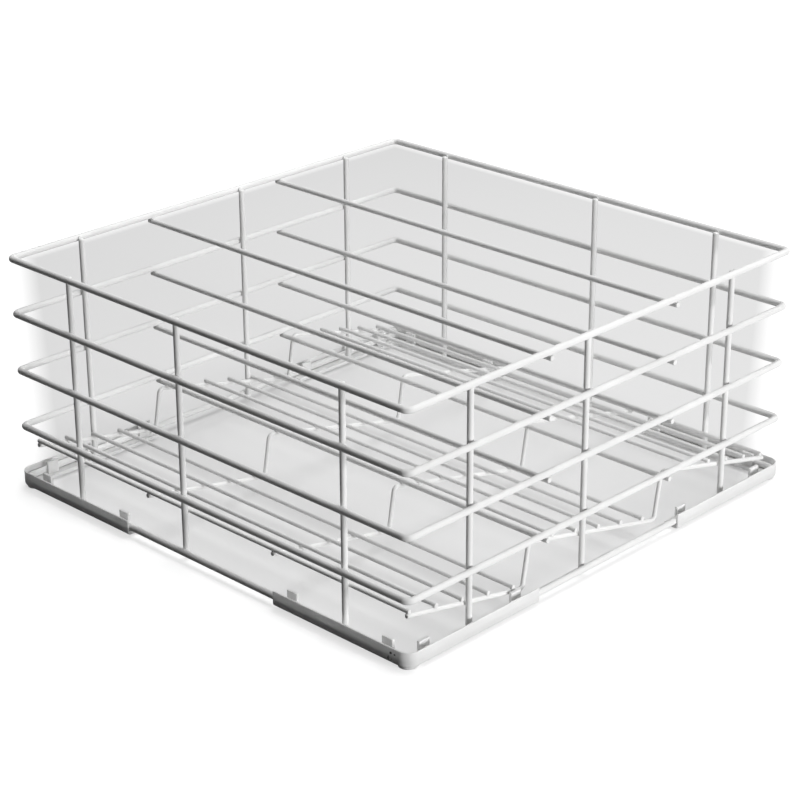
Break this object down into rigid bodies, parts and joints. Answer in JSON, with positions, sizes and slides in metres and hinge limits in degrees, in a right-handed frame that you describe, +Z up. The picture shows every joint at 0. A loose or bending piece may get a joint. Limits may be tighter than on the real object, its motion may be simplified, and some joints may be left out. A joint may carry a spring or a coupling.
{
  "type": "dishwasher basket",
  "caption": "Square coated-wire dishwasher basket with a saw-tooth rack that holds cups or glasses tilted in rows, on moulded corner runners.",
  "frame": {"origin": "centre of the footprint, on the plane the feet stand on", "axes": "+Z up, X along the rack's rods, -Y the front wall, where the rack is at its highest"},
  "size_m": [0.5, 0.5, 0.2262],
  "materials": {
    "coated_wire": "white plastic coating, semi-gloss",
    "runner_plastic": "white moulded plastic, satin"
  },
  "bodies": {
    "root": {"base_wire": "coated_wire", "corner_runner_back": "runner_plastic", "corner_runner_left": "runner_plastic", "corner_runner_near": "runner_plastic", "corner_runner_right": "runner_plastic", "divider_0_back": "coated_wire", "divider_0_front": "coated_wire", "divider_1_back": "coated_wire", "divider_1_front": "coated_wire", "divider_2_back": "coated_wire", "divider_2_front": "coated_wire", "divider_3_back": "coated_wire", "divider_3_front": "coated_wire", "rack_rod_01": "coated_wire", "rack_rod_02": "coated_wire", "rack_rod_03": "coated_wire", "rack_rod_04": "coated_wire", "rack_rod_05": "coated_wire", "rack_rod_06": "coated_wire", "rack_rod_07": "coated_wire", "rack_rod_08": "coated_wire", "rack_rod_09": "coated_wire", "rack_rod_10": "coated_wire", "rack_rod_11": "coated_wire", "rack_rod_12": "coated_wire", "rack_rod_13": "coated_wire", "rack_rod_14": "coated_wire", "rack_rod_15": "coated_wire", "rack_support_1": "coated_wire", "rack_support_2": "coated_wire", "rack_support_3": "coated_wire", "rack_support_4": "coated_wire", "rim_wire": "coated_wire", "upright_back_1": "coated_wire", "upright_back_2": "coated_wire", "upright_back_3": "coated_wire", "upright_front_1": "coated_wire", "upright_front_2": "coated_wire", "upright_front_3": "coated_wire", "upright_left_1": "coated_wire", "upright_left_2": "coated_wire", "upright_left_3": "coated_wire", "upright_right_1": "coated_wire", "upright_right_2": "coated_wire", "upright_right_3": "coated_wire", "wall_wire_1": "coated_wire", "wall_wire_2": "coated_wire", "wall_wire_3": "coated_wire"}
  },
  "joints": []
}
